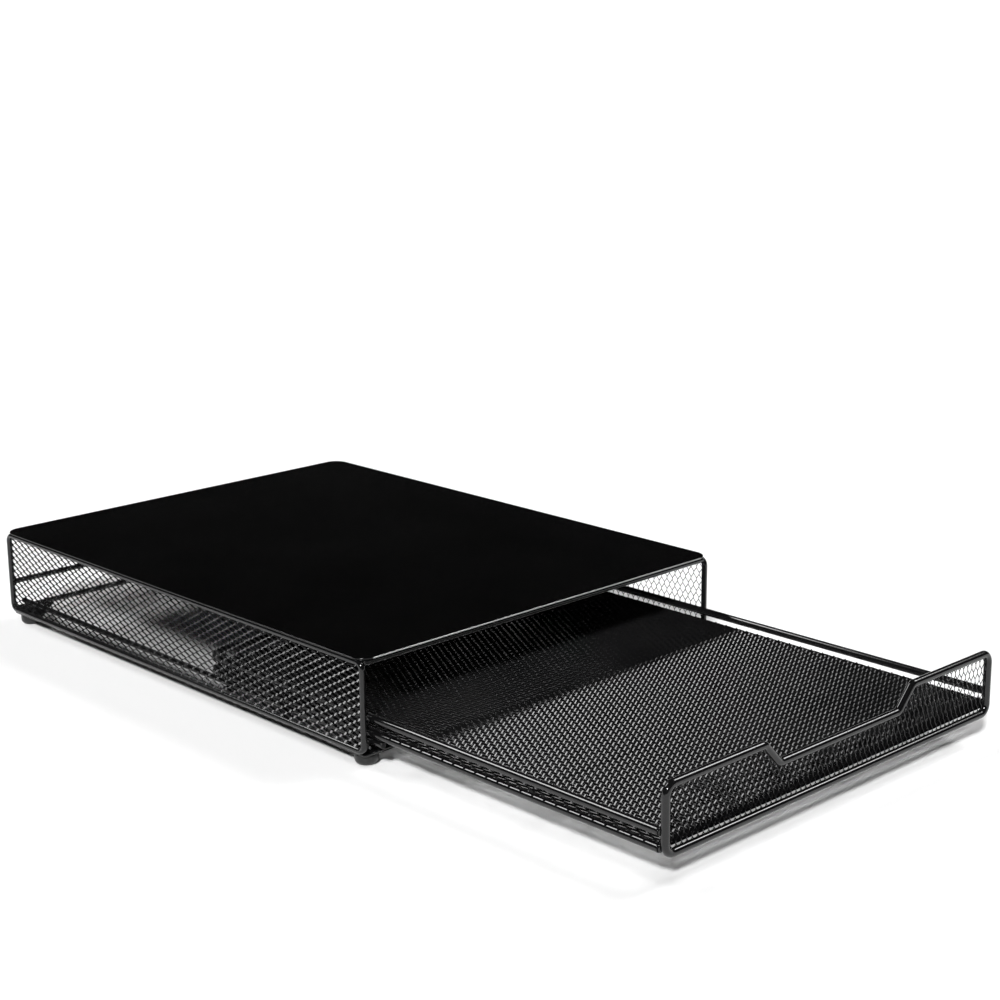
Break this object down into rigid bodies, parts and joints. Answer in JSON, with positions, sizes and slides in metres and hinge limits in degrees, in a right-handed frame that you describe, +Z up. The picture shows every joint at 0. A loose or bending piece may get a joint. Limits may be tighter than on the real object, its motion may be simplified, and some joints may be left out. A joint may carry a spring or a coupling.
{
  "type": "coffee pod drawer",
  "caption": "Low wire and mesh drawer unit for coffee pods, with a flat sheet top to stand a machine on and a tray that slides out on runners.",
  "frame": {"origin": "on the table, midway between the two sides and midway between the open drawer's front and the sheet's rear edge", "axes": "+Z up, +Y from the drawer's front towards the cabinet's back, so the drawer opens towards -Y; +X to the right seen from the front"},
  "size_m": [0.304, 0.622, 0.068],
  "materials": {
    "sheet": "semi-gloss powder coat, fine orange-peel",
    "wire": "semi-gloss powder coat",
    "mesh": "semi-gloss powder coat on expanded metal",
    "drawer_wire": "semi-gloss powder coat",
    "rubber": "matt",
    "rivet": "satin"
  },
  "bodies": {
    "cabinet": {"top_plate": "sheet", "left_side_frame": "wire", "right_side_frame": "wire", "left_side_mesh": "mesh", "right_side_mesh": "mesh", "top_front_wire": "wire", "top_rear_wire": "wire", "top_support_wires": "wire", "back_upper_bar": "wire", "back_lower_bar": "wire", "gusset_front_left": "wire", "gusset_front_right": "wire", "gusset_rear_left": "wire", "gusset_rear_right": "wire", "foot_front_left": "rubber", "foot_front_right": "rubber", "foot_rear_left": "rubber", "foot_rear_right": "rubber", "foot_rivets": "rivet", "runner_left": "wire", "runner_right": "wire", "runner_front_bracket_left": "wire", "runner_front_bracket_right": "wire", "runner_stop_bracket_left": "wire", "runner_stop_bracket_right": "wire", "runner_rear_bracket_left": "wire", "runner_rear_bracket_right": "wire"},
    "drawer": {"drawer_front_frame": "drawer_wire", "drawer_front_mesh": "mesh", "tray_base_wire": "drawer_wire", "tray_guard_wire": "drawer_wire", "tray_floor_mesh": "mesh", "tray_front_cross_wire": "drawer_wire", "tray_cross_wires": "drawer_wire", "tray_rear_uprights": "drawer_wire", "tray_hook_left": "drawer_wire", "tray_hook_right": "drawer_wire"}
  },
  "joints": [
    {"name": "drawer_slide", "type": "slide", "parent": "cabinet", "child": "drawer", "axis": [0, -1, 0], "range_m": [-0.226, 0.052]}
  ]
}
